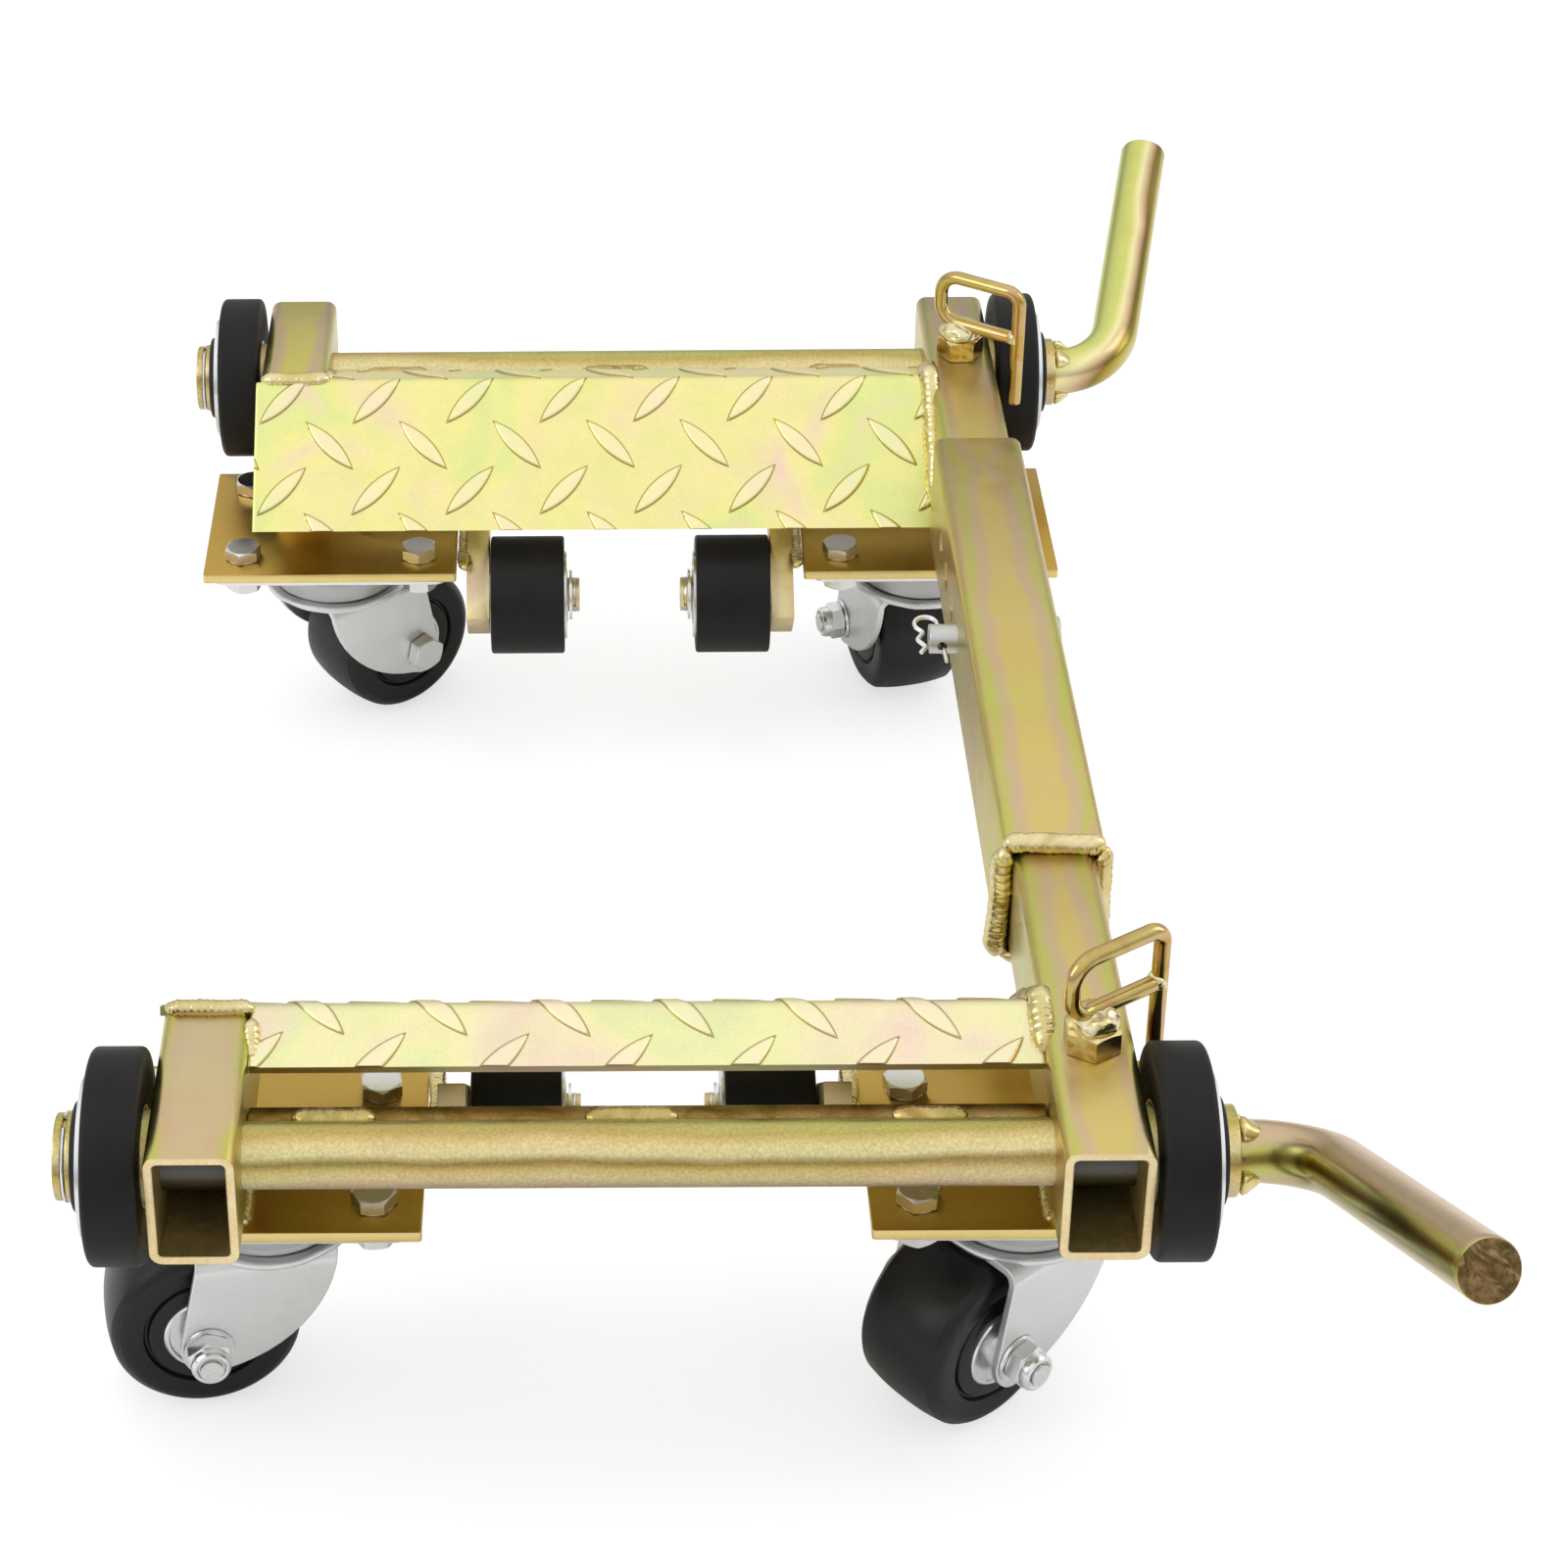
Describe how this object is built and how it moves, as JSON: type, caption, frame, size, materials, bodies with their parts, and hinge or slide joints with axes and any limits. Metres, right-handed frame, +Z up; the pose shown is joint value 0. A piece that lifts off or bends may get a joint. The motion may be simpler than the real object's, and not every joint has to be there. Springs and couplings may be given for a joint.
{
  "type": "wheel dolly",
  "caption": "U-shaped wheel dolly: two tread-plate ramps on axle rods with end wheels, small rollers, swivel casters and bent handles, joined by a pinned telescoping crossbar.",
  "frame": {"origin": "on the floor under the centre of the bounding box, with the arms pushed together", "axes": "+Z up; +X towards the crossbar side; +Y towards the arm that slides out of the crossbar sleeve"},
  "size_m": [0.6112, 1.0663, 0.2816],
  "materials": {
    "yellow_zinc": "yellow-passivated zinc plate on steel, satin with iridescent patches",
    "ramp_zinc": "yellow-passivated zinc plate on rolled tread plate, pale and semi-bright",
    "silver_zinc": "bright zinc plate on pressed steel",
    "rubber": "matte dark grey rubber",
    "nylon": "satin black nylon"
  },
  "bodies": {
    "near_arm": {"near_stub_tube": "yellow_zinc", "near_cross_tube": "yellow_zinc", "near_axle_rod": "yellow_zinc", "near_stiffener_bar": "yellow_zinc", "near_handle": "yellow_zinc", "near_pin_nut": "yellow_zinc", "near_ramp": "ramp_zinc", "near_left_roller_bracket": "yellow_zinc", "near_left_caster_plate": "yellow_zinc", "near_left_caster_top": "silver_zinc", "near_right_roller_bracket": "yellow_zinc", "near_right_caster_plate": "yellow_zinc", "near_right_caster_top": "silver_zinc", "sleeve": "yellow_zinc"},
    "far_arm": {"far_stub_tube": "yellow_zinc", "far_cross_tube": "yellow_zinc", "far_axle_rod": "yellow_zinc", "far_stiffener_bar": "yellow_zinc", "far_handle": "yellow_zinc", "far_pin_nut": "yellow_zinc", "far_ramp": "ramp_zinc", "far_left_roller_bracket": "yellow_zinc", "far_left_caster_plate": "yellow_zinc", "far_left_caster_top": "silver_zinc", "far_right_roller_bracket": "yellow_zinc", "far_right_caster_plate": "yellow_zinc", "far_right_caster_top": "silver_zinc"},
    "near_left_end_wheel": {"near_left_end_tyre": "rubber", "near_left_end_hub": "silver_zinc"},
    "near_left_roller": {"near_left_roller_tyre": "rubber", "near_left_roller_hub": "silver_zinc"},
    "near_left_caster": {"near_left_caster_fork": "silver_zinc", "near_left_caster_axle": "silver_zinc"},
    "near_left_caster_wheel_body": {"near_left_caster_wheel": "nylon"},
    "near_right_end_wheel": {"near_right_end_tyre": "rubber", "near_right_end_hub": "silver_zinc"},
    "near_right_roller": {"near_right_roller_tyre": "rubber", "near_right_roller_hub": "silver_zinc"},
    "near_right_caster": {"near_right_caster_fork": "silver_zinc", "near_right_caster_axle": "silver_zinc"},
    "near_right_caster_wheel_body": {"near_right_caster_wheel": "nylon"},
    "near_loop_pin": {"near_loop_pin": "yellow_zinc"},
    "far_left_end_wheel": {"far_left_end_tyre": "rubber", "far_left_end_hub": "silver_zinc"},
    "far_left_roller": {"far_left_roller_tyre": "rubber", "far_left_roller_hub": "silver_zinc"},
    "far_left_caster": {"far_left_caster_fork": "silver_zinc", "far_left_caster_axle": "silver_zinc"},
    "far_left_caster_wheel_body": {"far_left_caster_wheel": "nylon"},
    "far_right_end_wheel": {"far_right_end_tyre": "rubber", "far_right_end_hub": "silver_zinc"},
    "far_right_roller": {"far_right_roller_tyre": "rubber", "far_right_roller_hub": "silver_zinc"},
    "far_right_caster": {"far_right_caster_fork": "silver_zinc", "far_right_caster_axle": "silver_zinc"},
    "far_right_caster_wheel_body": {"far_right_caster_wheel": "nylon"},
    "far_loop_pin": {"far_loop_pin": "yellow_zinc"},
    "lock_pin": {"lock_pin": "silver_zinc"},
    "lock_clip": {"lock_clip": "silver_zinc"}
  },
  "joints": [
    {"name": "crossbar_slide", "type": "slide", "parent": "near_arm", "child": "far_arm", "axis": [0, 1, 0], "range_m": [0, 0.096]},
    {"name": "near_left_end_wheel_spin", "type": "hinge", "parent": "near_arm", "child": "near_left_end_wheel", "pos_m": [-0.28209, -0.364, 0.193], "axis": [1, 0, 0], "continuous": true},
    {"name": "near_left_roller_spin", "type": "hinge", "parent": "near_arm", "child": "near_left_roller", "pos_m": [-0.1021, -0.239, 0.112], "axis": [1, 0, 0], "continuous": true},
    {"name": "near_left_caster_swivel", "type": "hinge", "parent": "near_arm", "child": "near_left_caster", "pos_m": [-0.2201, -0.288, 0.12], "axis": [0, 0, 1], "continuous": true},
    {"name": "near_left_caster_roll", "type": "hinge", "parent": "near_left_caster", "child": "near_left_caster_wheel_body", "pos_m": [-0.25506, -0.29417, 0.047], "axis": [-0.1736, 0.9848, 0], "continuous": true},
    {"name": "near_right_end_wheel_spin", "type": "hinge", "parent": "near_arm", "child": "near_right_end_wheel", "pos_m": [0.1979, -0.364, 0.193], "axis": [1, 0, 0], "continuous": true},
    {"name": "near_right_roller_spin", "type": "hinge", "parent": "near_arm", "child": "near_right_roller", "pos_m": [0.01791, -0.239, 0.112], "axis": [1, 0, 0], "continuous": true},
    {"name": "near_right_caster_swivel", "type": "hinge", "parent": "near_arm", "child": "near_right_caster", "pos_m": [0.1359, -0.288, 0.12], "axis": [0, 0, 1], "continuous": true},
    {"name": "near_right_caster_roll", "type": "hinge", "parent": "near_right_caster", "child": "near_right_caster_wheel_body", "pos_m": [0.10871, -0.31082, 0.047], "axis": [-0.6428, 0.766, 0], "continuous": true},
    {"name": "near_loop_pin_lift", "type": "slide", "parent": "near_arm", "child": "near_loop_pin", "axis": [0, 0, 1], "range_m": [0, 0.03], "stiffness_N_per_m": 400, "springref_m": -0.01},
    {"name": "far_left_end_wheel_spin", "type": "hinge", "parent": "far_arm", "child": "far_left_end_wheel", "pos_m": [-0.28209, 0.364, 0.193], "axis": [1, 0, 0], "continuous": true},
    {"name": "far_left_roller_spin", "type": "hinge", "parent": "far_arm", "child": "far_left_roller", "pos_m": [-0.1021, 0.239, 0.112], "axis": [1, 0, 0], "continuous": true},
    {"name": "far_left_caster_swivel", "type": "hinge", "parent": "far_arm", "child": "far_left_caster", "pos_m": [-0.2201, 0.288, 0.12], "axis": [0, 0, 1], "continuous": true},
    {"name": "far_left_caster_roll", "type": "hinge", "parent": "far_left_caster", "child": "far_left_caster_wheel_body", "pos_m": [-0.19212, 0.30986, 0.047], "axis": [0.6157, -0.788, 0], "continuous": true},
    {"name": "far_right_end_wheel_spin", "type": "hinge", "parent": "far_arm", "child": "far_right_end_wheel", "pos_m": [0.1979, 0.364, 0.193], "axis": [1, 0, 0], "continuous": true},
    {"name": "far_right_roller_spin", "type": "hinge", "parent": "far_arm", "child": "far_right_roller", "pos_m": [0.01791, 0.239, 0.112], "axis": [1, 0, 0], "continuous": true},
    {"name": "far_right_caster_swivel", "type": "hinge", "parent": "far_arm", "child": "far_right_caster", "pos_m": [0.1359, 0.288, 0.12], "axis": [0, 0, 1], "continuous": true},
    {"name": "far_right_caster_roll", "type": "hinge", "parent": "far_right_caster", "child": "far_right_caster_wheel_body", "pos_m": [0.12672, 0.32229, 0.047], "axis": [0.9659, 0.2588, 0], "continuous": true},
    {"name": "far_loop_pin_lift", "type": "slide", "parent": "far_arm", "child": "far_loop_pin", "axis": [0, 0, 1], "range_m": [0, 0.03], "stiffness_N_per_m": 400, "springref_m": -0.01},
    {"name": "lock_pin_play", "type": "slide", "parent": "near_arm", "child": "lock_pin", "axis": [1, 0, 0], "range_m": [0, 0.005]},
    {"name": "lock_clip_pull", "type": "slide", "parent": "lock_pin", "child": "lock_clip", "axis": [-0.0865, 0.9888, 0.1219], "range_m": [0, 0.03]}
  ]
}
